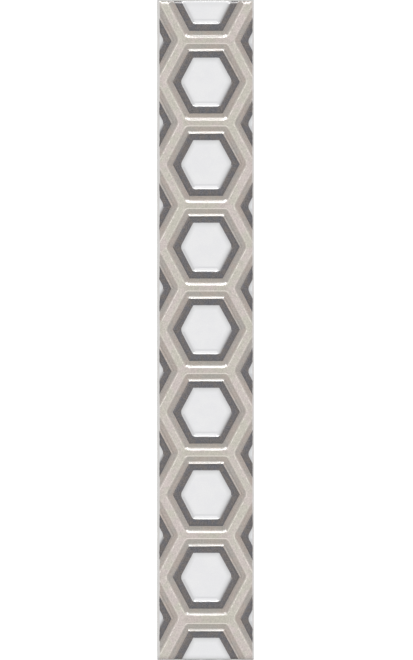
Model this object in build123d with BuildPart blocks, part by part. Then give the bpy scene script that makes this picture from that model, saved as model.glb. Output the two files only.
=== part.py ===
from build123d import *
import os
from math import ceil, cos, radians, tan

# Border tile: one long plate of pressed and fired clay, with a honeycomb in low relief on its glazed face.
# The back lies on z = 0, the length runs along Y, and the glazed face looks up. Sizes are in millimetres.

# Plate
tile_length = 500.0
tile_width = 73.5
tile_thickness = 9.5

# Rounding of the rim, where the glazed face turns down into the sides
rim_radius = 3.5

# Honeycomb lattice, between the centre lines of its ribs
cell_pitch = 62.5
cell_flat_side = 34.9
side_lean = 28.0

# The half cell at the -Y end sits this much nearer to the end than the pitch would put it
end_cell_shift = 1.8

# Plan widths of the relief, from a rib's centre line towards the middle of a cell
rib_crest_width = 5.2
rib_wall_run = 2.4
valley_width = 0.76
ring_wall_run = 2.04
ring_land_width = 4.6
field_wall_run = 3.5

# Depths of the relief below the crests of the ribs
valley_depth = 1.25
ring_depth = 0.22
field_depth = 1.4

# Plan roundings of the hexagons' corners
crest_corner_round = 3.0
rib_foot_corner_round = 1.2
ring_corner_round = 0.6
field_side_corner_round = 5.8
field_flat_corner_round = 3.0
floor_side_corner_round = 2.4
floor_flat_corner_round = 1.2

# How far a cutting shape reaches past the face that it cuts
cut_overrun = 0.3

# Keying pockets pressed into the back, with solid strips between them
key_columns = 4
key_rows = 28
key_depth = 0.7
key_strip_width = 3.0
key_rim_width = 6.0
key_draft = 20.0

# Levels of the relief
crest_level = tile_thickness
valley_level = crest_level - valley_depth
ring_level = crest_level - ring_depth
field_level = crest_level - field_depth
overrun_level = crest_level + cut_overrun

# Distances of each line of the relief from the rib's centre line
crest_inset = rib_crest_width / 2
rib_foot_inset = crest_inset + rib_wall_run
ring_foot_inset = rib_foot_inset + valley_width
ring_inset = ring_foot_inset + ring_wall_run
ring_inner_inset = ring_inset + ring_land_width
floor_inset = ring_inner_inset + field_wall_run

# Each wall's run for one millimetre of its height, for drawing it on past its two lines
rib_wall_slope = rib_wall_run / valley_depth
ring_wall_slope = ring_wall_run / (valley_depth - ring_depth)
field_wall_slope = field_wall_run / (field_depth - ring_depth)

# Half the width of a cell at its side corners, and the distance between columns of cells
lean = radians(side_lean)
cell_half_width = cell_flat_side / 2 + cell_pitch / 2 * tan(lean)
column_step = cell_flat_side / 2 + cell_half_width


def hexagon(level, inset, side_round, flat_round):
    """Hexagon of one cell at a level, moved inward from the rib centre lines by inset, with its two side
    corners and the four corners of its flat sides rounded."""
    half_height = cell_pitch / 2 - inset
    side_x = cell_half_width - inset / cos(lean)
    flat_x = side_x - half_height * tan(lean)
    with BuildSketch(Plane.XY.offset(level)) as outline:
        Polygon(
            (side_x, 0),
            (flat_x, half_height),
            (-flat_x, half_height),
            (-side_x, 0),
            (-flat_x, -half_height),
            (flat_x, -half_height),
        )
        fillet(outline.vertices().group_by(Axis.X)[0] + outline.vertices().group_by(Axis.X)[-1], side_round)
        fillet(outline.vertices().group_by(Axis.Y)[0] + outline.vertices().group_by(Axis.Y)[-1], flat_round)
    return outline.sketch


# What the press takes out of a flat face in one cell: the pocket between the ribs, round a standing ring,
# and the sunk field inside the ring
with BuildPart() as cell_cut:
    pocket_foot = hexagon(valley_level, rib_foot_inset, rib_foot_corner_round, rib_foot_corner_round)
    pocket_top = hexagon(
        overrun_level, crest_inset - cut_overrun * rib_wall_slope, crest_corner_round, crest_corner_round
    )
    loft(sections=[pocket_foot, pocket_top])
    ring_foot = hexagon(
        valley_level - cut_overrun,
        ring_foot_inset - cut_overrun * ring_wall_slope,
        ring_corner_round,
        ring_corner_round,
    )
    ring_top = hexagon(ring_level, ring_inset, ring_corner_round, ring_corner_round)
    loft(sections=[ring_foot, ring_top], mode=Mode.SUBTRACT)
    field_floor = hexagon(field_level, floor_inset, floor_side_corner_round, floor_flat_corner_round)
    field_top = hexagon(
        overrun_level,
        ring_inner_inset - (ring_depth + cut_overrun) * field_wall_slope,
        field_side_corner_round,
        field_flat_corner_round,
    )
    loft(sections=[field_floor, field_top])

# Cell centres: whole rows either side of the middle, and as many half-shifted rows in the side columns
rows_each_way = ceil(tile_length / 2 / cell_pitch - 1 / 2)
side_rows_each_way = ceil(tile_length / 2 / cell_pitch)
middle_cells = [(0, row * cell_pitch) for row in range(1 - rows_each_way, rows_each_way + 1)]
end_cell = (0, -rows_each_way * cell_pitch - end_cell_shift)

# Keying pockets share what the rim and the strips leave of the back
key_pocket_width = (tile_width - 2 * key_rim_width - (key_columns - 1) * key_strip_width) / key_columns
key_pocket_length = (tile_length - 2 * key_rim_width - (key_rows - 1) * key_strip_width) / key_rows

with BuildPart() as border_tile:
    # Plate with upright sides and a rounded rim
    with BuildSketch():
        Rectangle(tile_width, tile_length)
    extrude(amount=tile_thickness)
    fillet(border_tile.faces().sort_by(Axis.Z)[-1].edges(), rim_radius)

    # Honeycomb
    with Locations(*middle_cells, end_cell):
        add(cell_cut.part, mode=Mode.SUBTRACT)
    with GridLocations(2 * column_step, cell_pitch, 2, 2 * side_rows_each_way):
        add(cell_cut.part, mode=Mode.SUBTRACT)

    # Back
    with BuildSketch():
        with GridLocations(
            key_pocket_width + key_strip_width, key_pocket_length + key_strip_width, key_columns, key_rows
        ):
            Rectangle(key_pocket_width, key_pocket_length)
    extrude(amount=key_depth, taper=key_draft, mode=Mode.SUBTRACT)

border_tile.part.label = "border_tile"

os.makedirs("parts", exist_ok=True)
export_step(border_tile.part, "parts/border_tile.step")
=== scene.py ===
"""Border tile with a honeycomb in low relief, lying on its back and seen from straight above.

The tile is one mesh. Its glazed face is a profile carried round every cell of the honeycomb, cut off at
the tile's rounded rim. Its sides and its keyed back are bare fired clay.
"""

import math
from types import SimpleNamespace

import bmesh
import bpy
import numpy as np
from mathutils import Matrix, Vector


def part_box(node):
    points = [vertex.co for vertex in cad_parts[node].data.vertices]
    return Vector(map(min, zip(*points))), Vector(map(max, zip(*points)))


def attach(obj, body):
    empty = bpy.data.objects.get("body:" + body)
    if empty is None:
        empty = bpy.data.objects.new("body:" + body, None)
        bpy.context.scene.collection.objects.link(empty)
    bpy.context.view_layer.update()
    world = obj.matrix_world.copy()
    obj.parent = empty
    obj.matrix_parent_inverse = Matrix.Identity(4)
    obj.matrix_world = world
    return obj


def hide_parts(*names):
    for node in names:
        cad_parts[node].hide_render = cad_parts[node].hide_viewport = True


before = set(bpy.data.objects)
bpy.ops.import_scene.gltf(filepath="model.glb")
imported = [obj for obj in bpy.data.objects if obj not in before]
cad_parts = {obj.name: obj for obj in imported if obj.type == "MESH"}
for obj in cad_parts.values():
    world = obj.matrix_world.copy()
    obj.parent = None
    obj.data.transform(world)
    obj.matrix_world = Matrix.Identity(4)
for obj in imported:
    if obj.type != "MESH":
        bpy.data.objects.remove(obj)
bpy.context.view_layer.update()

MM = 0.001

# The tile, from the frame. Every size below is in millimetres, unless it says otherwise.
low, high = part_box("border_tile")
WIDTH, LENGTH, THICKNESS = (high - low) / MM
HALF_WIDTH, HALF_LENGTH = WIDTH / 2, LENGTH / 2
SIDES = [(axis, half, sign) for axis, half in ((0, HALF_WIDTH), (1, HALF_LENGTH)) for sign in (-1, 1)]

# Honeycomb lattice, between the centre lines of its ribs
CELLS_ALONG = 8
CELL_PITCH = LENGTH / CELLS_ALONG
FLAT_SIDE = 34.9
LEAN = math.radians(28)
CELL_HALF_WIDTH = FLAT_SIDE / 2 + CELL_PITCH / 2 * math.tan(LEAN)
COLUMN_STEP = FLAT_SIDE / 2 + CELL_HALF_WIDTH

# The half cell at the -Y end sits this much nearer to the end, and the pattern this much towards +X
END_CELL_SHIFT = 1.8
PATTERN_SHIFT = 0.42

# Rim of the glazed face: a distance in from the tile's side, and the slope there. The face eases into a long
# lean and then turns down. RIM_BLEND is how sharply the relief meets it.
RIM = ((0.0, 4.2), (0.5, 2.0), (1.1, 0.85), (1.6, 0.50), (3.0, 0.46), (4.2, 0.0))
RIM_CUTS = (0.12, 0.3, 0.5, 0.8, 1.1, 1.35, 1.6, 2.3, 3.0, 3.4, 3.8, 4.2)
RIM_SAMPLES = 400
RIM_BLEND = 3.0

# The two ends leave out the outermost part of the rim. Towards the -Y end the face also droops, over this
# reach and down to this slope.
END_RIM_SHIFT = 0.3
END_DROOP_REACH = 5.5
END_DROOP_SLOPE = 0.16

# Profile of the relief, from a rib's centre line to the flat floor of a field: a distance, the slope there,
# and the steps that lead up to it
RELIEF = (
    (0.0, 0.0, 0),
    (1.95, 0.0, 2),
    (2.4, -0.49, 5),
    (3.5, -0.50, 3),
    (4.1, -0.40, 3),
    (4.8, -0.24, 2),
    (5.3, 0.0, 3),
    (5.5, 0.17, 2),
    (5.9, 0.33, 2),
    (6.2, 0.48, 2),
    (7.5, 0.56, 3),
    (7.7, 0.0, 4),
    (12.2, 0.0, 2),
    (12.5, -0.62, 4),
    (12.85, -0.50, 3),
    (13.2, -0.44, 3),
    (13.5, -0.27, 3),
    (14.9, -0.16, 3),
    (15.3, -0.05, 2),
    (17.0, 0.0, 3),
)

# Plan rounding of a cell's corners at some of those distances: its top, side and bottom corners
CORNERS = (
    (0.0, (0.0, 0.0, 0.0)),
    (2.0, (4.2, 5.6, 5.0)),
    (3.7, (2.5, 3.9, 3.5)),
    (5.3, (2.9, 2.8, 2.0)),
    (7.6, (0.6, 0.5, 0.4)),
    (7.8, (0.4, 0.4, 0.4)),
    (12.2, (0.9, 5.4, 3.1)),
    (13.5, (1.2, 5.4, 1.9)),
    (16.8, (1.2, 2.0, 0.5)),
)

# The press and the fire left the hexagons a little irregular. How much nearer the rib's centre line a cell's
# sides lie at some of those distances: the upper right, top, upper left, lower left, bottom and lower right
# side. The side columns' cells, which the tile's long edges cut, have their own values from the ring on.
SET_BACKS = (
    (0.0, (0.0, 0.0, 0.0, 0.0, 0.0, 0.0)),
    (2.2, (0.4, 0.45, -0.42, -0.78, -0.1, -0.55)),
    (3.7, (0.4, 0.45, -0.42, -0.78, -0.1, -0.55)),
    (5.3, (0.2, 0.2, -0.35, -0.3, -0.05, -0.25)),
    (7.7, (0.25, 0.0, 0.19, -0.14, 0.05, -0.11)),
    (12.2, (0.08, -0.15, -0.38, -0.47, -0.45, -0.51)),
    (17.0, (0.0, 0.0, 0.0, -0.8, -0.6, -0.8)),
)
SIDE_COLUMN_SET_BACKS = SET_BACKS[:4] + (
    (7.7, (-0.02, 0.0, 0.32, 0.42, 0.05, 0.09)),
    (12.2, (-0.1, -0.15, 0.0, 0.15, -0.45, -0.45)),
    (17.0, (0.0, 0.0, 0.1, 0.0, -0.6, -0.8)),
)

# How far those sides are turned out of the regular hexagon there, in degrees
TURNS = (
    (0.0, (0.0, 0.0, 0.0, 0.0, 0.0, 0.0)),
    (5.3, (0.0, 0.0, 0.0, 0.0, 0.0, 0.0)),
    (7.7, (0.96, 0.25, 0.39, -0.17, 0.0, -0.28)),
    (12.2, (0.88, 0.0, 0.06, -0.58, 0.0, 1.09)),
)
SIDE_COLUMN_TURNS = TURNS[:2] + (
    (7.7, (0.15, 0.25, 0.75, -0.7, 0.0, 0.5)),
    (12.2, (0.0, 0.0, 0.5, -0.2, 0.0, 0.4)),
)

# Rings between the last of those distances and a cell's middle, and points along one corner and one side
FLOOR_RINGS = 4
CORNER_STEPS = 6
SIDE_STEPS = 7

# Side of the tile and its keyed back
FOOT_ARRIS = 0.4
KEY_COLUMNS = 4
KEY_ROWS = 28
KEY_DEPTH = 0.7
KEY_STRIP = 3.0
KEY_RIM = 6.0
KEY_WALL_RUN = 0.25

# Points nearer than this are one point: between neighbouring cells, and on a cut or an edge of the tile
CELL_JOIN = 0.005
EDGE_JOIN = 1e-4

# Points less than this below the crests belong to the face, which the rim's rounding turns down. Past the
# angle in degrees an edge is sharp.
FACE_DEPTH = 2.5
SHARP_ANGLE = 38


def linear(red, green, blue):
    """Colour of a surface from its levels of 0 to 255 in a picture."""
    levels = np.array([red, green, blue]) / 255
    return (*(((levels + 0.055) / 1.055) ** 2.4).tolist(), 1.0)


# The glazes: the colour on a cell's slanted sides and on its bars, the strength of the grain, the two tints
# that the hue drifts between, and the turns of that drift a millimetre
BEIGE = dict(
    on_slants=linear(200, 193, 187),
    on_bars=linear(193, 186, 179),
    grain=0.17,
    tint=(1.045, 0.99, 1.01, 1.0),
    other_tint=(0.965, 0.995, 0.92, 1.0),
    drift=0.07,
)
TAUPE = dict(
    on_slants=linear(173, 165, 159),
    on_bars=linear(168, 161, 153),
    grain=0.18,
    tint=(1.05, 1.0, 0.97, 1.0),
    other_tint=(0.96, 0.985, 0.985, 1.0),
    drift=0.09,
)
DARK = dict(
    on_slants=linear(94, 90, 90),
    on_bars=linear(88, 86, 88),
    grain=0.42,
    tint=(1.15, 1.07, 0.98, 1.0),
    other_tint=(0.89, 0.92, 1.02, 1.0),
    drift=0.22,
)
WHITE = dict(
    on_slants=linear(236, 236, 237),
    on_bars=linear(236, 236, 237),
    grain=0.02,
    tint=(1.0, 1.0, 1.0, 1.0),
    other_tint=(0.975, 0.975, 0.985, 1.0),
    drift=0.08,
)

# Colours of single places: a painted highlight on a rib's edge, painted shade and dark reflection on the
# white, and the margins
CREST_HIGHLIGHT = linear(244, 238, 230)
SHADED_WHITE = linear(219, 219, 220)
DARK_REFLECTION_WHITE = linear(220, 220, 222)
SLANT_SHADE = linear(208, 208, 210)
MARGIN = linear(213, 211, 209)
# The end margins' colours carry painted shade as well, deepest at the -Y end
END_MARGIN_AND_SHADE = linear(187, 185, 183)
LOW_END_MARGIN_AND_SHADE = linear(138, 134, 131)
CLAY = linear(222, 212, 200)

# Where one glaze gives way to the next, from a rib's centre line: where the next starts to show and where it
# is whole. The beige ends earlier on a cell's top side, and white comes in slowly on the lower right side.
TAUPE_COMES = (2.55, 3.45)
DARK_COMES = (7.58, 7.82)
WHITE_COMES = (12.25, 12.6)
SLOW_WHITE_COMES = (11.15, 13.55)
TOP_TAUPE_SHIFT = 0.2125

# Bands across a cell's sides, from a rib's centre line: where each starts, is whole, starts to fade and ends
CREST_HIGHLIGHT_BAND = (1.72, 1.95, 2.15, 2.45)
FOOT_SHADE_BAND = (5.2, 5.7, 6.45, 6.8)
GLINT_BAND = (6.65, 6.9, 7.3, 7.5)
SLANT_SHADE_BAND = (12.7, 13.4, 13.8, 14.9)

# Such bands from the centre line of the bar under a cell, and from the tile's +Y end
BAR_REFLECTION_BAND = (15.2, 15.8, 16.1, 17.4)
END_REFLECTION_BAND = (1.5, 2.4, 3.0, 6.5)

# Strength of the painted highlight along a cell's top side, and what that highlight loses on both upper
# slanted sides and on the lower left side
TOP_HIGHLIGHT = 0.85
UPPER_HIGHLIGHT_LOSS = 0.5
LOWER_LEFT_HIGHLIGHT_LOSS = 0.3

# Shading of the glazes near their edges: the two distances that it runs between, and what it adds to a gain
# of 1 there
TOP_SHADE = (6.2, 7.2, 0.0, -0.14)
PALE_EDGE = (9.2, 8.3, 0.0, 0.32)
DARK_EDGE = (9.4, 8.5, 0.0, -0.14)
FIELD_EDGE = (14.3, 12.9, 0.0, -0.07)
FOOT_SHADE = -0.15
GLINT = 0.3

# Where the white carries painted shade near a ring, where its painted dark reflection along a bar starts, how
# strong that reflection at the +Y end is, and what the painted shade along the slanted sides loses on the
# lower right side
SHADED_WHITE_RANGE = (16.4, 13.0)
BAR_REFLECTION_STARTS = (13.4, 14.4)
END_REFLECTION = 0.5
LOWER_RIGHT_SHADE_LOSS = 0.7

# Painted shade where the rim turns down, as gains from the -Y end and from the tile's sides: two distances
# and the gain at each
LOW_END_RIM_SHADE = (0.2, 4.2, 0.76, 1.0)
SIDE_RIM_SHADE = (0.8, 0.2, 1.0, 0.84)

# How the edges of the print, of the margins and of the glaze's drips wander: turns a millimetre, and reach
PRINT_WANDER = (0.9, 0.07)
MARGIN_WANDER = (0.25, 0.22)
DRIP_WANDER = (0.12, 0.5)

# Noises, as turns a millimetre, detail and roughness, and the levels of each that are mapped to two values:
# patches that break up the painted highlights on the ribs' edges and the painted glint, grain of two sizes
# and its shares, and the clouds, the grog and the surface of bare clay
PATCHES, PATCH_LEVELS = (0.30, 3.0, 0.7), (0.38, 0.62, 0.12, 1.0)
FINE_GRAIN, COARSE_GRAIN, GRAIN_LEVELS = (1.2, 1.0, 0.5), (0.45, 2.0, 0.6), (0.30, 0.70, -1.0, 1.0)
FINE_SHARE, COARSE_SHARE = 0.8, 0.2
CLOUDS, CLOUD_LEVELS = (0.09, 3.0, 0.5), (0.3, 0.7, 0.93, 1.05)
GROG, GROG_LEVELS = (2.4, 2.0, 0.7), (0.58, 0.7, 1.0, 0.82)
CLAY_SURFACE = (1.6, 3.0, 0.7)
RIPPLE = (0.22, 2.0, 0.5)
ORANGE_PEEL, ORANGE_PEEL_SHARE = (1.1, 1.0, 0.5), 0.05

# Detail and roughness of the noise that the hues drift by, and the levels between which they pass from one
# tint to the other
DRIFT_DETAIL, DRIFT_ROUGHNESS, DRIFT_LEVELS = 3.0, 0.65, (0.38, 0.62)

# Ranges over which the mask of a side comes in, in terms of the way that its rings face: how far along Y, how
# far down along Y, and how far along X, all from 0 to 1
BAR_FACING = (0.75, 0.95)
UPPER_FACING = (0.25, 0.05)
LOWER_SLANT_FACING = (0.25, 0.42)
OFF_BOTTOM_FACING = (0.95, 0.7)
SLANT_FACING = (0.6, 0.8)

# Unprinted margins along the tile's sides and ends, the softness of their edges, and how much further the
# rings reach into those along the sides than the ribs do
PRINT_MARGIN, MARGIN_SOFTNESS = 1.65, 0.25
END_PRINT_MARGIN, END_MARGIN_SOFTNESS = 0.8, 0.15
RING_REACH = 0.2

# How glossy the glazes are, and the height of the ripple in them
GLAZE_ROUGHNESS = 0.12
WHITE_ROUGHNESS = 0.09
GLAZE_IOR = 1.7
RIPPLE_HEIGHT = 0.0045

# Bare clay: how rough it is on the back, how much rougher than the glaze on the sides, and its open surface
CLAY_ROUGHNESS = 0.85
UNGLAZED_ROUGHER = 0.7
CLAY_SPECULAR = 0.3
CLAY_TEXTURE_HEIGHT = 0.08

# Depths below the face at which the print and then the glaze end on the tile's sides
PRINT_ENDS = (3.2, 2.6)
GLAZE_ENDS = (4.9, 4.6)

# White paper floor: half its size and its depth under the tile, in metres, and its grey and glow
FLOOR_HALF = 3.0
FLOOR_DROP = 0.0002
PAPER_GREY = 0.75
PAPER_GLOW = 0.55

# Lights: a name, the azimuth from +Y towards +X, the elevation, the distance in metres, how wide and how tall
# the light is seen from the tile, and its brightness. Angles are in degrees. The world and the soft boxes
# light the tile, and the strips show only in its gloss.
WORLD_LEVEL = 0.835
SOFT_BOXES = (
    ("overhead", 0.0, 90.0, 20.0, 50.0, 50.0, 0.2),
    ("fill", 180.0, 50.0, 20.0, 60.0, 26.0, 0.4),
    ("front", 0.0, 40.0, 20.0, 60.0, 26.0, 0.5),
)
STRIPS = (
    ("key", 0.0, 38.0, 20.0, 18.0, 4.0, 13.0),
    ("key_left", -25.0, 38.0, 20.0, 32.0, 4.0, 13.0),
    ("key_right", 25.0, 38.0, 20.0, 32.0, 4.0, 13.0),
    ("far_left", -46.0, 38.0, 20.0, 10.0, 2.5, 6.0),
    ("far_right", 46.0, 38.0, 20.0, 10.0, 2.5, 6.0),
    ("key_edge", 0.0, 43.5, 20.0, 72.0, 7.0, 4.0),
    ("key_glow", 0.0, 51.0, 20.0, 50.0, 8.0, 3.0),
    ("key_shoulder", 0.0, 63.0, 20.0, 50.0, 16.0, 1.0),
    ("side_glow", 62.0, 34.0, 20.0, 12.0, 6.0, 0.6),
)

# The photograph's frame and the tile's place in it, in pixels, and the camera, in metres
FRAME_WIDTH, FRAME_HEIGHT = 413, 660
TILE_TOP_PX, TILE_BOTTOM_PX = -0.2, 660.1
TILE_CENTRE_PX = 205.5
CAMERA_HEIGHT = 7.0


def sampled(rows, distance):
    """Values of a table at each distance, in straight lines between its rows."""
    knots = [row[0] for row in rows]
    return np.stack([np.interp(distance, knots, column) for column in zip(*(row[1] for row in rows))], axis=1)


def relief_stations():
    """The relief sampled from the rib's centre line to the floor.

    Distances run evenly between the rows of RELIEF, slopes go in straight lines between them, and the height
    at a station is the running sum of slope times step. Returns distances and heights."""
    places = [np.zeros(1)]
    for before, row in zip(RELIEF, RELIEF[1:]):
        places.append(np.linspace(before[0], row[0], row[2] + 1)[1:])
    distance = np.concatenate(places)
    slope = np.interp(distance, [row[0] for row in RELIEF], [row[1] for row in RELIEF])
    mean_slope = (slope[1:] + slope[:-1]) / 2
    height = np.concatenate([np.zeros(1), np.cumsum(np.diff(distance) * mean_slope)])
    return distance, height


def cell_rings(distance, set_backs, turns):
    """Plan of one cell as rings round its middle, one ring for each station.

    Each of the six sides is a straight line at its own distance from the middle, turned by its own small
    angle. Neighbouring lines cross at a corner, and an arc of the corner's rounding joins them. A ring is six
    arcs and six straight sides, with as many points on each as on every other ring. Returns the points and
    the directions in which the ring faces there, both as (stations, points, 2)."""
    half_turn = math.pi
    upper = np.array([LEAN, half_turn / 2, half_turn - LEAN])
    regular = np.concatenate([upper, half_turn + upper])
    angle = regular + np.radians(sampled(turns, distance))
    after = np.roll(np.arange(6), -1)
    normal = np.stack([np.cos(angle), np.sin(angle)], axis=2)
    following = normal[:, after]
    slanted = CELL_HALF_WIDTH * math.cos(LEAN)
    reach = np.array([slanted, CELL_PITCH / 2, slanted, slanted, CELL_PITCH / 2, slanted])
    apart = reach - distance[:, None] + sampled(set_backs, distance)
    apart_after = apart[:, after]
    cross = normal[..., 0] * following[..., 1] - normal[..., 1] * following[..., 0]
    corner_x = (apart * following[..., 1] - apart_after * normal[..., 1]) / cross
    corner_y = (apart_after * normal[..., 0] - apart * following[..., 0]) / cross
    corner = np.stack([corner_x, corner_y], axis=2)
    top, side, bottom = sampled(CORNERS, distance).T
    radius = np.stack([top, top, side, bottom, bottom, side], axis=1)[..., None]
    open_by = 1 + (normal * following).sum(axis=2, keepdims=True)
    centre = corner - radius * (normal + following) / open_by
    share = np.linspace(0, 1, CORNER_STEPS + 1)
    turn = (angle[:, after] - angle) % (2 * math.pi)
    sweep = angle[..., None] + turn[..., None] * share
    arc = centre[:, :, None] + radius[..., None] * np.stack([np.cos(sweep), np.sin(sweep)], axis=3)
    start, end = arc[:, :, -1], arc[:, after, 0]
    share = np.linspace(0, 1, SIDE_STEPS + 1)[1:-1, None]
    straight = start[:, :, None] * (1 - share) + end[:, :, None] * share
    ring = np.concatenate([arc, straight], axis=2)
    along_arc = np.stack([np.cos(sweep), np.sin(sweep)], axis=3)
    facing = np.concatenate([along_arc, np.repeat(following[:, :, None], SIDE_STEPS - 1, axis=2)], axis=2)
    stations = len(distance)
    return ring.reshape(stations, -1, 2), facing.reshape(stations, -1, 2)


def cell_centres():
    """Centres of both side columns' cells and of the middle column's cells, and how many of them are in the
    side columns. The last cell is the one at the -Y end, which is shifted."""
    half = CELLS_ALONG // 2
    middle = [(0.0, CELL_PITCH * row) for row in range(half, -half - 1, -1)]
    rows = np.arange(-half, half) + 0.5
    sides = [(sign * COLUMN_STEP, CELL_PITCH * row) for sign in (-1, 1) for row in rows]
    return np.array(sides + middle) + [PATTERN_SHIFT, 0.0], len(sides)


def honeycomb_mesh():
    """The whole honeycomb before it is cut to the tile: one grid for each cell, of stations by points round
    the cell. Past the last station the rings shrink evenly into the middle. Returns points in millimetres,
    what the glazes are laid by at each, and the faces."""
    distance, height = relief_stations()
    side_ring, side_facing = cell_rings(distance, SIDE_COLUMN_SET_BACKS, SIDE_COLUMN_TURNS)
    middle_ring, middle_facing = cell_rings(distance, SET_BACKS, TURNS)
    centres, side_cells = cell_centres()
    counts = [side_cells, len(centres) - side_cells]
    ring = np.repeat([side_ring, middle_ring], counts, axis=0)
    facing = np.repeat([side_facing, middle_facing], counts, axis=0)
    shrink = np.linspace(1, 0, FLOOR_RINGS + 1)[1:]
    floor = ring[:, -1:] * shrink[:, None, None]
    plan = np.concatenate([ring, floor], axis=1)
    facing = np.concatenate([facing, np.repeat(facing[:, -1:], FLOOR_RINGS, axis=1)], axis=1)
    middle = CELL_PITCH / 2
    across = np.concatenate([distance, middle - (middle - distance[-1]) * shrink])
    level = np.concatenate([height, np.full(FLOOR_RINGS, height[-1])])
    cells, stations, around = plan.shape[:3]
    x = plan[..., 0] + centres[:, None, None, 0]
    y = plan[..., 1] + centres[:, None, None, 1]
    y[-1, 1:] -= END_CELL_SHIFT
    z = np.broadcast_to(THICKNESS + level[None, :, None], x.shape)
    points = np.stack([x, y, z], axis=3).reshape(-1, 3)
    laid_by = {
        "across": np.broadcast_to(across[None, :, None], x.shape).ravel(),
        "bar": np.abs(facing[..., 1]).ravel(),
        "low_side": np.clip(-facing[..., 1], 0, 1).ravel(),
        "right_side": facing[..., 0].ravel(),
        "from_bar": plan[..., 1].ravel() + CELL_PITCH / 2,
    }
    number = np.arange(cells * stations * around).reshape(cells, stations, around)
    right = np.roll(number, -1, axis=2)
    faces = np.stack([number[:, :-1], right[:, :-1], right[:, 1:], number[:, 1:]], axis=3).reshape(-1, 4)
    return points, laid_by, faces


def rim_depth(inward):
    """How far the rim lies below the face at a distance inward from the tile's side: the running sum of the
    slopes in RIM, from its inner line outward."""
    place, slope = np.array(RIM[::-1]).T
    fine = np.linspace(place[0], 0.0, RIM_SAMPLES)
    steep = np.interp(fine, place[::-1], slope[::-1])
    depth = np.concatenate([[0.0], np.cumsum((steep[1:] + steep[:-1]) / 2 * -np.diff(fine))])
    return np.interp(inward, fine[::-1], depth[::-1])


def turned_down(points):
    """Heights with the rim's rounding. Depths below the face are combined so that the deeper one rules and
    they blend where they are alike: a power sum, with RIM_BLEND as the power. The droop towards the -Y end
    grows with the square of the way into its reach."""
    sideways = rim_depth(HALF_WIDTH - np.abs(points[:, 0]))
    endways = rim_depth(HALF_LENGTH - np.abs(points[:, 1]) + END_RIM_SHIFT)
    relief = np.clip(THICKNESS - points[:, 2], 0, None)
    depth = (relief**RIM_BLEND + sideways**RIM_BLEND + endways**RIM_BLEND) ** (1 / RIM_BLEND)
    near_end = np.clip(1 - (HALF_LENGTH + points[:, 1]) / END_DROOP_REACH, 0, 1)
    return THICKNESS - depth - END_DROOP_SLOPE * END_DROOP_REACH / 2 * near_end**2


def back_mesh():
    """The keyed back as a grid of lines across and along: a pocket is a strip between two pairs of lines in
    each direction, with its depth reached over the run of its wall. Returns points and faces."""

    def lines(half, count):
        """Places of the grid's lines in one direction, and a mask of those on a pocket's floor."""
        size = (2 * half - 2 * KEY_RIM - (count - 1) * KEY_STRIP) / count
        start = -half + KEY_RIM + np.arange(count) * (size + KEY_STRIP)
        place = start[:, None] + np.array([0, KEY_WALL_RUN, size - KEY_WALL_RUN, size])
        return place.ravel(), np.tile([False, True, True, False], count)

    x, x_low = lines(HALF_WIDTH, KEY_COLUMNS)
    y, y_low = lines(HALF_LENGTH, KEY_ROWS)
    grid_x, grid_y = np.meshgrid(x, y)
    depth = KEY_DEPTH * (x_low[None, :] & y_low[:, None])
    points = np.stack([grid_x, grid_y, depth], axis=2).reshape(-1, 3)
    number = np.arange(len(y) * len(x)).reshape(len(y), len(x))
    faces = np.stack([number[:-1, :-1], number[1:, :-1], number[1:, 1:], number[:-1, 1:]], axis=2)
    return points, faces.reshape(-1, 4)


def cut(shape, axis, place, outward, clear):
    """Cuts the face along a line square to axis, and with clear also drops what lies outward of it."""
    at, way = [0.0, 0.0, 0.0], [0.0, 0.0, 0.0]
    at[axis], way[axis] = place, outward
    parts = shape.verts[:] + shape.edges[:] + shape.faces[:]
    bmesh.ops.bisect_plane(shape, geom=parts, dist=EDGE_JOIN, plane_co=at, plane_no=way, clear_outer=clear)


def cut_to_tile(shape):
    """Cuts the honeycomb off at the tile's sides, and gives it points along the rounding of the rim."""
    for axis, half, sign in SIDES:
        cut(shape, axis, sign * half, sign, True)
    for inward in RIM_CUTS:
        for axis, half, sign in SIDES:
            cut(shape, axis, sign * (half - inward), sign, False)


def stretched_down(shape, edges, level, inward):
    """Carries a loop of edges straight down to a level and inward by a distance, and returns the new loop."""
    below = {}
    for vert in dict.fromkeys(vert for edge in edges for vert in edge.verts):
        x = max(inward - HALF_WIDTH, min(HALF_WIDTH - inward, vert.co.x))
        y = max(inward - HALF_LENGTH, min(HALF_LENGTH - inward, vert.co.y))
        below[vert] = shape.verts.new((x, y, level), vert)
    for loop in [edge.link_loops[0] for edge in edges]:
        first, second = loop.link_loop_next.vert, loop.vert
        shape.faces.new((first, second, below[second], below[first]))
    return [shape.edges.get([below[vert] for vert in edge.verts]) for edge in edges]


def add_sides(shape):
    """Upright sides down to a small arris at the back's edge. Returns the points round the foot."""
    rim_loop = [edge for edge in shape.edges if edge.is_boundary]
    side_loop = stretched_down(shape, rim_loop, FOOT_ARRIS, 0.0)
    foot_loop = stretched_down(shape, side_loop, 0.0, FOOT_ARRIS)
    foot = list(dict.fromkeys(vert for edge in foot_loop for vert in edge.verts))
    bmesh.ops.remove_doubles(shape, verts=foot, dist=EDGE_JOIN)
    return [vert for vert in foot if vert.is_valid]


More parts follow.
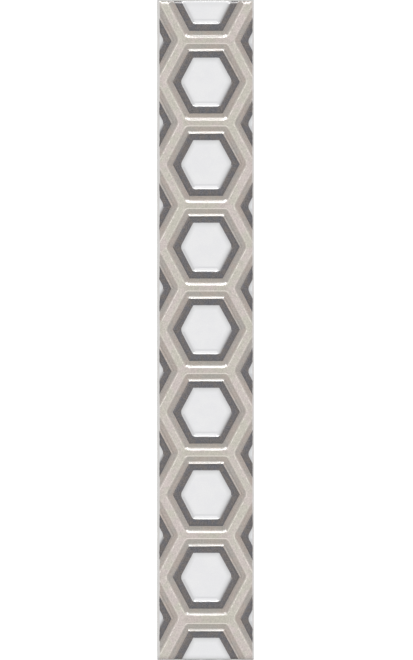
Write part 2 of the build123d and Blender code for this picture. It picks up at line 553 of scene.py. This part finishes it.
def close_foot(shape, foot, back_verts, axis, half, sign):
    """Fills the flat strip between the foot of one side and the keyed part of the back. Each step along
    either of its two rows of points makes a triangle with the point that the other row has reached."""
    rows, places = [], []
    for verts, inward in ((foot, FOOT_ARRIS), (back_verts, KEY_RIM)):
        row = [vert for vert in verts if abs(vert.co[axis] - sign * (half - inward)) < EDGE_JOIN]
        rows.append(sorted(row, key=lambda vert: vert.co[1 - axis]))
        places.append(np.array([vert.co[1 - axis] for vert in rows[-1]]))
    (outer, inner), (outer_place, inner_place) = rows, places
    inner_met = np.searchsorted(inner_place[1:], outer_place[1:], side="left")
    outer_met = np.searchsorted(outer_place[1:], inner_place[1:], side="right")
    corners = [(outer[i], outer[i + 1], inner[met]) for i, met in enumerate(inner_met)]
    corners += [(inner[i + 1], inner[i], outer[met]) for i, met in enumerate(outer_met)]
    return [shape.faces.new(three) for three in corners]


def add_back(shape, foot):
    """The keyed back and the flat strips from it to the foot of the sides. Returns its faces."""
    points, faces = back_mesh()
    verts = [shape.verts.new(point) for point in points.tolist()]
    back = [shape.faces.new([verts[i] for i in face]) for face in faces.tolist()]
    for axis, half, sign in SIDES:
        back += close_foot(shape, foot, verts, axis, half, sign)
    return back


def tile_mesh():
    """The glazed face, cut to the tile and turned down at its rim, with upright sides and the keyed back."""
    points, laid_by, faces = honeycomb_mesh()
    mesh = bpy.data.meshes.new("border_tile_body")
    mesh.from_pydata(points, [], faces)
    for name, values in laid_by.items():
        mesh.attributes.new(name, "FLOAT", "POINT").data.foreach_set("value", values.astype(np.float32))
    shape = bmesh.new()
    shape.from_mesh(mesh)
    bmesh.ops.remove_doubles(shape, verts=shape.verts, dist=CELL_JOIN)
    cut_to_tile(shape)
    foot = add_sides(shape)
    back = add_back(shape, foot)
    for face in shape.faces:
        face.smooth = True
    for face in back:
        face.material_index = 1
        face.smooth = False
    bmesh.ops.dissolve_degenerate(shape, dist=EDGE_JOIN, edges=shape.edges)
    bmesh.ops.recalc_face_normals(shape, faces=shape.faces)
    shape.to_mesh(mesh)
    shape.free()

    flat = np.zeros(len(mesh.vertices) * 3)
    mesh.vertices.foreach_get("co", flat)
    place = flat.reshape(-1, 3)
    on_face = place[:, 2] > THICKNESS - FACE_DEPTH
    place[on_face, 2] = turned_down(place[on_face])
    mesh.vertices.foreach_set("co", (place * MM).ravel())
    return mesh


def node_group(name, inputs, outputs):
    """Empty shader node group with its sockets. Inputs map a name to a socket type and a first value."""
    group = bpy.data.node_groups.new(name, "ShaderNodeTree")
    for label, (kind, value) in inputs.items():
        socket = group.interface.new_socket(label, in_out="INPUT", socket_type=kind)
        if value is not None:
            socket.default_value = value
    for label, kind in outputs.items():
        group.interface.new_socket(label, in_out="OUTPUT", socket_type=kind)
    return group


def add_node(tree, kind, values=None, **settings):
    """Node of a kind, with settings on it, and on its inputs either values or links from other sockets."""
    node = tree.nodes.new(kind)
    for name, value in settings.items():
        setattr(node, name, value)
    for name, value in (values or {}).items():
        if isinstance(value, bpy.types.NodeSocket):
            tree.links.new(value, node.inputs[name])
        else:
            node.inputs[name].default_value = value
    return node


def measured(tree, operation, first, second=0.0):
    """Result of one Math node."""
    return add_node(tree, "ShaderNodeMath", {0: first, 1: second}, operation=operation).outputs[0]


def product(tree, *factors):
    """Product of sockets and numbers, of which the first is a socket."""
    result = factors[0]
    for factor in factors[1:]:
        result = measured(tree, "MULTIPLY", result, factor)
    return result


def total(tree, *terms):
    """Sum of sockets and numbers."""
    result = terms[0]
    for term in terms[1:]:
        result = measured(tree, "ADD", result, term)
    return result


def opposite(tree, mask):
    """Mask of what another mask leaves."""
    return measured(tree, "SUBTRACT", 1.0, mask)


def either(tree, first, second):
    """The stronger of two masks."""
    return measured(tree, "MAXIMUM", first, second)


def spread(tree, value, low, high, to_low=0.0, to_high=1.0, smooth=True):
    """Value mapped from low..high to to_low..to_high, held at both ends."""
    kind = "SMOOTHSTEP" if smooth else "LINEAR"
    values = {"Value": value, "From Min": low, "From Max": high, "To Min": to_low, "To Max": to_high}
    return add_node(tree, "ShaderNodeMapRange", values, interpolation_type=kind).outputs["Result"]


def band(tree, value, start, whole, fade, end):
    """Mask of a band, which comes in from start to whole and goes out again from fade to end."""
    return product(tree, spread(tree, value, start, whole), spread(tree, value, end, fade))


def mixed(tree, factor, first, second, blend="MIX"):
    """Result of one Mix node on two colours."""
    values = {0: factor, 6: first, 7: second}
    return add_node(tree, "ShaderNodeMix", values, data_type="RGBA", blend_type=blend).outputs[2]


def scaled(tree, vector, gain):
    """A colour or a place times a gain."""
    return add_node(tree, "ShaderNodeVectorMath", {0: vector, "Scale": gain}, operation="SCALE").outputs[0]


def noise(tree, place, scale, detail=2.0, roughness=0.5):
    """Noise on a place in millimetres, with scale in turns a millimetre."""
    values = {"Vector": place, "Scale": scale, "Detail": detail, "Roughness": roughness}
    return add_node(tree, "ShaderNodeTexNoise", values).outputs["Fac"]


def wander(tree, place, scale, reach):
    """Distance that wanders smoothly between -reach and reach."""
    return spread(tree, noise(tree, place, scale), 0.3, 0.7, -reach, reach, smooth=False)


def attribute(tree, name):
    """Number that the mesh carries at each of its points."""
    return add_node(tree, "ShaderNodeAttribute", attribute_name=name).outputs["Fac"]


def mineral_grain_group():
    """Fine grain of a mineral glaze: lighter and darker flecks of two sizes over a colour."""
    group = node_group(
        "mineral_grain",
        {
            "Place": ("NodeSocketVector", None),
            "Color": ("NodeSocketColor", None),
            "Strength": ("NodeSocketFloat", 1.0),
        },
        {"Color": "NodeSocketColor"},
    )
    inside = add_node(group, "NodeGroupInput").outputs
    fine = product(group, noise(group, inside["Place"], *FINE_GRAIN), FINE_SHARE)
    coarse = product(group, noise(group, inside["Place"], *COARSE_GRAIN), COARSE_SHARE)
    fleck = spread(group, total(group, fine, coarse), *GRAIN_LEVELS, smooth=False)
    gain = total(group, 1.0, product(group, fleck, inside["Strength"]))
    add_node(group, "NodeGroupOutput", {"Color": scaled(group, inside["Color"], gain)})
    return group


def hue_drift_group():
    """Slow drift of a glaze between two tints of one colour, with softer patches and finer mottling."""
    group = node_group(
        "hue_drift",
        {
            "Place": ("NodeSocketVector", None),
            "Color": ("NodeSocketColor", None),
            "Tint": ("NodeSocketColor", (1.0, 1.0, 1.0, 1.0)),
            "Other Tint": ("NodeSocketColor", (1.0, 1.0, 1.0, 1.0)),
            "Scale": ("NodeSocketFloat", 0.15),
        },
        {"Color": "NodeSocketColor"},
    )
    inside = add_node(group, "NodeGroupInput").outputs
    drift = noise(group, inside["Place"], inside["Scale"], DRIFT_DETAIL, DRIFT_ROUGHNESS)
    tint = mixed(group, spread(group, drift, *DRIFT_LEVELS), inside["Tint"], inside["Other Tint"])
    add_node(group, "NodeGroupOutput", {"Color": mixed(group, 1.0, inside["Color"], tint, "MULTIPLY")})
    return group


def fired_clay_group():
    """Bare fired clay: pale buff with fine dark grog, and a height for its open surface."""
    group = node_group(
        "fired_clay",
        {"Place": ("NodeSocketVector", None), "Color": ("NodeSocketColor", None)},
        {"Color": "NodeSocketColor", "Height": "NodeSocketFloat"},
    )
    inside = add_node(group, "NodeGroupInput").outputs
    clouds = spread(group, noise(group, inside["Place"], *CLOUDS), *CLOUD_LEVELS)
    grog = spread(group, noise(group, inside["Place"], *GROG), *GROG_LEVELS)
    colour = scaled(group, inside["Color"], product(group, clouds, grog))
    height = noise(group, inside["Place"], *CLAY_SURFACE)
    add_node(group, "NodeGroupOutput", {"Color": colour, "Height": height})
    return group


mineral_grain = mineral_grain_group()
hue_drift = hue_drift_group()
fired_clay = fired_clay_group()


def new_material(name):
    """Material with a Principled shader, and the surface's place in millimetres."""
    material = bpy.data.materials.new(name)
    material.use_nodes = True
    tree = material.node_tree
    coordinates = add_node(tree, "ShaderNodeTexCoord").outputs["Object"]
    return material, tree, tree.nodes["Principled BSDF"], scaled(tree, coordinates, 1 / MM)


def bumped(tree, shader, height, distance):
    """Gives a shader the relief of a height, with distance in millimetres."""
    values = {"Strength": 1.0, "Distance": distance * MM, "Height": height}
    tree.links.new(add_node(tree, "ShaderNodeBump", values).outputs[0], shader.inputs["Normal"])


def side_masks(tree):
    """Masks of a cell's sides, from the way that its rings face: both bars, the top side, all but the bottom
    side, the lower two slanted sides, and each slanted side by itself."""
    along, down, sideways = (attribute(tree, name) for name in ("bar", "low_side", "right_side"))
    upper = spread(tree, down, *UPPER_FACING)
    lower = opposite(tree, upper)
    right = spread(tree, sideways, *SLANT_FACING)
    left = spread(tree, product(tree, sideways, -1.0), *SLANT_FACING)
    off_bottom = spread(tree, down, *OFF_BOTTOM_FACING)
    return SimpleNamespace(
        bar=spread(tree, along, *BAR_FACING),
        top=spread(tree, measured(tree, "SUBTRACT", along, down), *BAR_FACING),
        off_bottom=off_bottom,
        lower_slants=product(tree, spread(tree, down, *LOWER_SLANT_FACING), off_bottom),
        upper_right=product(tree, upper, right),
        upper_left=product(tree, upper, left),
        lower_left=product(tree, lower, left),
        lower_right=product(tree, lower, right),
    )


def glaze(tree, place, bar, on_slants, on_bars, grain, tint, other_tint, drift):
    """One glaze all over the face, with its grain and the slow drift of its hue."""
    values = {"Place": place, "Color": mixed(tree, bar, on_slants, on_bars), "Strength": grain}
    colour = add_node(tree, "ShaderNodeGroup", values, node_tree=mineral_grain).outputs["Color"]
    values = {"Place": place, "Color": colour, "Tint": tint, "Other Tint": other_tint, "Scale": drift}
    return add_node(tree, "ShaderNodeGroup", values, node_tree=hue_drift).outputs["Color"]


def rib_glaze(tree, place, line, sides, patchy):
    """Beige of the ribs, with a painted highlight in a thin pale line along each edge. The line is whole on a
    cell's top side, patchy on the slanted sides, fainter on three of them, and missing on the bottom side."""
    faint = product(tree, either(tree, sides.upper_left, sides.upper_right), UPPER_HIGHLIGHT_LOSS)
    faint = either(tree, faint, product(tree, sides.lower_left, LOWER_LEFT_HIGHLIGHT_LOSS))
    strength = either(tree, product(tree, patchy, sides.off_bottom), product(tree, sides.top, TOP_HIGHLIGHT))
    # Painted highlight: a pale line that stands in for the gleam off the rib's rounded edge
    painted_highlight = product(tree, band(tree, line, *CREST_HIGHLIGHT_BAND), strength, opposite(tree, faint))
    return mixed(tree, painted_highlight, glaze(tree, place, sides.bar, **BEIGE), CREST_HIGHLIGHT)


def wall_glaze(tree, place, line, sides, patchy):
    """Taupe of the walls and valleys. The ring's wall carries painted shade at its foot on the upper right
    side, with a patchy painted glint under its top, and painted shade towards its top on the upper left and
    lower right sides."""
    foot_shade = product(tree, band(tree, line, *FOOT_SHADE_BAND), sides.upper_right, FOOT_SHADE)
    glint = product(tree, band(tree, line, *GLINT_BAND), sides.upper_right, GLINT, patchy)
    shaded = either(tree, sides.upper_left, sides.lower_right)
    top_shade = product(tree, shaded, spread(tree, line, *TOP_SHADE))
    gain = total(tree, 1.0, foot_shade, top_shade, glint)
    return scaled(tree, glaze(tree, place, sides.bar, **TAUPE), gain)


def ring_glaze(tree, place, line, sides):
    """Dark glaze of the rings, whose outer edge is paler on the upper left side and darker on the others."""
    pale_edge = product(tree, sides.upper_left, spread(tree, line, *PALE_EDGE))
    dark_edge = product(tree, opposite(tree, sides.upper_left), spread(tree, line, *DARK_EDGE))
    return scaled(tree, glaze(tree, place, sides.bar, **DARK), total(tree, 1.0, pale_edge, dark_edge))


def field_glaze(tree, place, line, sides):
    """White glaze of the fields. It carries painted shade near the ring, except along the bottom side, a
    painted dark reflection along the bar under a cell and near the tile's +Y end, and painted shade along the
    lower slanted sides."""
    colour = glaze(tree, place, sides.bar, **WHITE)
    # Painted shade on the field's walls near the ring, left off the bottom side where the light falls
    wall_shade = product(tree, spread(tree, line, *SHADED_WHITE_RANGE, smooth=False), sides.off_bottom)
    colour = mixed(tree, wall_shade, colour, SHADED_WHITE)
    # Painted dark reflection: greyer white along the bar under a cell and near the +Y end
    bar_reflection = band(tree, attribute(tree, "from_bar"), *BAR_REFLECTION_BAND)
    bar_reflection = product(tree, bar_reflection, spread(tree, line, *BAR_REFLECTION_STARTS))
    along_tile = add_node(tree, "ShaderNodeSeparateXYZ", {0: place}).outputs["Y"]
    end_reflection = band(tree, measured(tree, "SUBTRACT", HALF_LENGTH, along_tile), *END_REFLECTION_BAND)
    colour = mixed(tree, either(tree, bar_reflection, product(tree, end_reflection, END_REFLECTION)), colour, DARK_REFLECTION_WHITE)
    # Painted shade on the white of the lower slanted sides, weaker on the lower right
    slant_shade = product(tree, band(tree, line, *SLANT_SHADE_BAND), sides.lower_slants)
    loss = product(tree, sides.lower_right, LOWER_RIGHT_SHADE_LOSS)
    slant_shade = product(tree, slant_shade, opposite(tree, loss))
    colour = mixed(tree, slant_shade, colour, SLANT_SHADE)
    return scaled(tree, colour, total(tree, 1.0, spread(tree, line, *FIELD_EDGE)))


def side_margin(tree, place, across_tile, on_ring):
    """Mask of the unprinted margins along the tile's sides. Their edge wanders, and the rings reach further
    into them than the ribs do."""
    beside = measured(tree, "ABSOLUTE", measured(tree, "SUBTRACT", across_tile, PATTERN_SHIFT))
    beside = total(tree, beside, wander(tree, place, *MARGIN_WANDER), product(tree, on_ring, -RING_REACH))
    edge = HALF_WIDTH - PRINT_MARGIN
    return spread(tree, beside, edge - MARGIN_SOFTNESS, edge + MARGIN_SOFTNESS)


def end_margin(tree, along_tile):
    """Mask of the unprinted margins along the tile's ends, and their colour, which carries painted shade,
    darkest at the -Y end.
    """
    edge = HALF_LENGTH - END_PRINT_MARGIN
    from_centre = measured(tree, "ABSOLUTE", along_tile)
    mask = spread(tree, from_centre, edge - END_MARGIN_SOFTNESS, edge + END_MARGIN_SOFTNESS)
    return mask, mixed(tree, spread(tree, along_tile, -1.0, 1.0), LOW_END_MARGIN_AND_SHADE, END_MARGIN_AND_SHADE)


def painted_rim_shade(tree, across_tile, along_tile):
    """Gain of the colours, as painted shade, where the rim turns down at the tile's sides and along its -Y
    end.
    """
    at_end = spread(tree, total(tree, along_tile, HALF_LENGTH), *LOW_END_RIM_SHADE)
    from_side = measured(tree, "SUBTRACT", HALF_WIDTH, measured(tree, "ABSOLUTE", across_tile))
    return product(tree, at_end, spread(tree, from_side, *SIDE_RIM_SHADE))


def glazed_face_material():
    """Glazes of the face, laid by the distance from the nearest rib's centre line, and bare clay under them
    on the tile's sides."""
    material, tree, shader, place = new_material("glazed_clay")
    across_tile, along_tile, up = add_node(tree, "ShaderNodeSeparateXYZ", {0: place}).outputs
    line = total(tree, attribute(tree, "across"), wander(tree, place, *PRINT_WANDER))
    sides = side_masks(tree)
    patchy = spread(tree, noise(tree, place, *PATCHES), *PATCH_LEVELS)

    is_taupe = spread(tree, total(tree, line, product(tree, sides.top, TOP_TAUPE_SHIFT)), *TAUPE_COMES)
    is_dark = spread(tree, line, *DARK_COMES)
    white_comes = [
        spread(tree, sides.lower_right, 0.0, 1.0, usual, slow, smooth=False)
        for usual, slow in zip(WHITE_COMES, SLOW_WHITE_COMES)
    ]
    is_white = spread(tree, line, *white_comes)
    white = field_glaze(tree, place, line, sides)
    ribs, walls = rib_glaze(tree, place, line, sides, patchy), wall_glaze(tree, place, line, sides, patchy)
    colour = mixed(tree, is_taupe, ribs, walls)
    colour = mixed(tree, is_dark, colour, ring_glaze(tree, place, line, sides))
    colour = mixed(tree, is_white, colour, white)

    margin = side_margin(tree, place, across_tile, measured(tree, "SUBTRACT", is_dark, is_white))
    at_end, end_colour = end_margin(tree, along_tile)
    colour = mixed(tree, margin, colour, MARGIN)
    colour = mixed(tree, at_end, colour, end_colour)
    # Painted shade where the rim turns down
    colour = scaled(tree, colour, painted_rim_shade(tree, across_tile, along_tile))

    height = total(tree, up, wander(tree, place, *DRIP_WANDER))
    is_printed = spread(tree, height, THICKNESS - PRINT_ENDS[0], THICKNESS - PRINT_ENDS[1])
    is_glazed = spread(tree, height, THICKNESS - GLAZE_ENDS[0], THICKNESS - GLAZE_ENDS[1])
    clay = add_node(tree, "ShaderNodeGroup", {"Place": place, "Color": CLAY}, node_tree=fired_clay).outputs
    colour = mixed(tree, is_printed, white, colour)
    colour = mixed(tree, is_glazed, clay["Color"], colour)
    tree.links.new(colour, shader.inputs["Base Color"])

    on_white = either(tree, is_white, margin)
    roughness = spread(tree, on_white, 0.0, 1.0, GLAZE_ROUGHNESS, WHITE_ROUGHNESS, smooth=False)
    roughness = total(tree, roughness, product(tree, opposite(tree, is_glazed), UNGLAZED_ROUGHER))
    tree.links.new(roughness, shader.inputs["Roughness"])
    shader.inputs["IOR"].default_value = GLAZE_IOR
    orange_peel = product(tree, noise(tree, place, *ORANGE_PEEL), ORANGE_PEEL_SHARE)
    bumped(tree, shader, total(tree, noise(tree, place, *RIPPLE), orange_peel), RIPPLE_HEIGHT)
    return material


def bare_clay_material():
    """Bare fired clay of the back."""
    material, tree, shader, place = new_material("bare_fired_clay")
    clay = add_node(tree, "ShaderNodeGroup", {"Place": place, "Color": CLAY}, node_tree=fired_clay).outputs
    tree.links.new(clay["Color"], shader.inputs["Base Color"])
    shader.inputs["Roughness"].default_value = CLAY_ROUGHNESS
    shader.inputs["Specular IOR Level"].default_value = CLAY_SPECULAR
    bumped(tree, shader, clay["Height"], CLAY_TEXTURE_HEIGHT)
    return material


def paper_material():
    """White paper that lights up a little for the camera and for reflections, and keeps shadows."""
    material, tree, shader, _ = new_material("white_paper")
    shader.inputs["Base Color"].default_value = (PAPER_GREY, PAPER_GREY, PAPER_GREY, 1.0)
    shader.inputs["Roughness"].default_value = 0.9
    shader.inputs["Specular IOR Level"].default_value = 0.0
    shader.inputs["Emission Color"].default_value = (1.0, 1.0, 1.0, 1.0)
    path = add_node(tree, "ShaderNodeLightPath").outputs
    seen = either(tree, path["Is Camera Ray"], path["Is Glossy Ray"])
    seen = either(tree, seen, path["Is Transmission Ray"])
    tree.links.new(product(tree, seen, PAPER_GLOW), shader.inputs["Emission Strength"])
    return material


def stage_floor():
    """Flat floor just under the tile's back."""
    mesh = bpy.data.meshes.new("floor")
    corners = [(-1, -1), (1, -1), (1, 1), (-1, 1)]
    mesh.from_pydata([(x * FLOOR_HALF, y * FLOOR_HALF, -FLOOR_DROP) for x, y in corners], [], [(0, 1, 2, 3)])
    mesh.materials.append(paper_material())
    floor = bpy.data.objects.new("floor", mesh)
    bpy.context.scene.collection.objects.link(floor)


def soft_light(name, azimuth, elevation, distance, wide, tall, radiance):
    """Rectangular soft light that faces the tile. Its size follows from the angles that it fills seen from
    the tile, and its power from its size and its brightness."""
    light = bpy.data.lights.new(name, "AREA")
    light.shape = "RECTANGLE"
    light.size = 2 * distance * math.tan(math.radians(wide / 2))
    light.size_y = 2 * distance * math.tan(math.radians(tall / 2))
    light.energy = radiance * math.pi * light.size * light.size_y
    lamp = bpy.data.objects.new(name, light)
    turn, rise = math.radians(azimuth), math.radians(elevation)
    lamp.location = (
        distance * math.cos(rise) * math.sin(turn),
        distance * math.cos(rise) * math.cos(turn),
        distance * math.sin(rise),
    )
    lamp.rotation_euler = (math.pi / 2 - rise, 0.0, math.pi - turn)
    bpy.context.scene.collection.objects.link(lamp)
    return lamp


def light_the_scene():
    """Even white surroundings and broad soft boxes for the level of the light, and narrow bright strips
    beyond the +Y end that show only in the gloss."""
    world = bpy.data.worlds.new("studio")
    bpy.context.scene.world = world
    world.use_nodes = True
    backdrop = world.node_tree.nodes["Background"]
    backdrop.inputs["Color"].default_value = (1.0, 1.0, 1.0, 1.0)
    backdrop.inputs["Strength"].default_value = WORLD_LEVEL
    for light in SOFT_BOXES:
        soft_light(*light)
    for light in STRIPS:
        soft_light(*light).visible_diffuse = False


def place_camera():
    """Camera straight above, so far away that the tile fills the photograph's height without perspective."""
    camera = bpy.data.cameras.new("camera")
    pixel = LENGTH * MM / (TILE_BOTTOM_PX - TILE_TOP_PX)
    camera.sensor_width = 36.0
    camera.lens = camera.sensor_width * CAMERA_HEIGHT / (FRAME_HEIGHT * pixel)
    camera.clip_end = 100.0
    eye = bpy.data.objects.new("camera", camera)
    aside = (FRAME_WIDTH / 2 - TILE_CENTRE_PX) * pixel
    along = (TILE_TOP_PX + TILE_BOTTOM_PX - FRAME_HEIGHT) / 2 * pixel
    eye.location = (aside, along, CAMERA_HEIGHT + THICKNESS * MM)
    bpy.context.scene.collection.objects.link(eye)
    bpy.context.scene.camera = eye


tile = bpy.data.objects.new("glazed_tile", tile_mesh())
bpy.context.scene.collection.objects.link(tile)
tile.data.materials.append(glazed_face_material())
tile.data.materials.append(bare_clay_material())
tile.data.set_sharp_from_angle(angle=math.radians(SHARP_ANGLE))
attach(tile, "root")
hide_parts("border_tile")

stage_floor()
light_the_scene()
place_camera()
bpy.context.scene.view_settings.view_transform = "Standard"
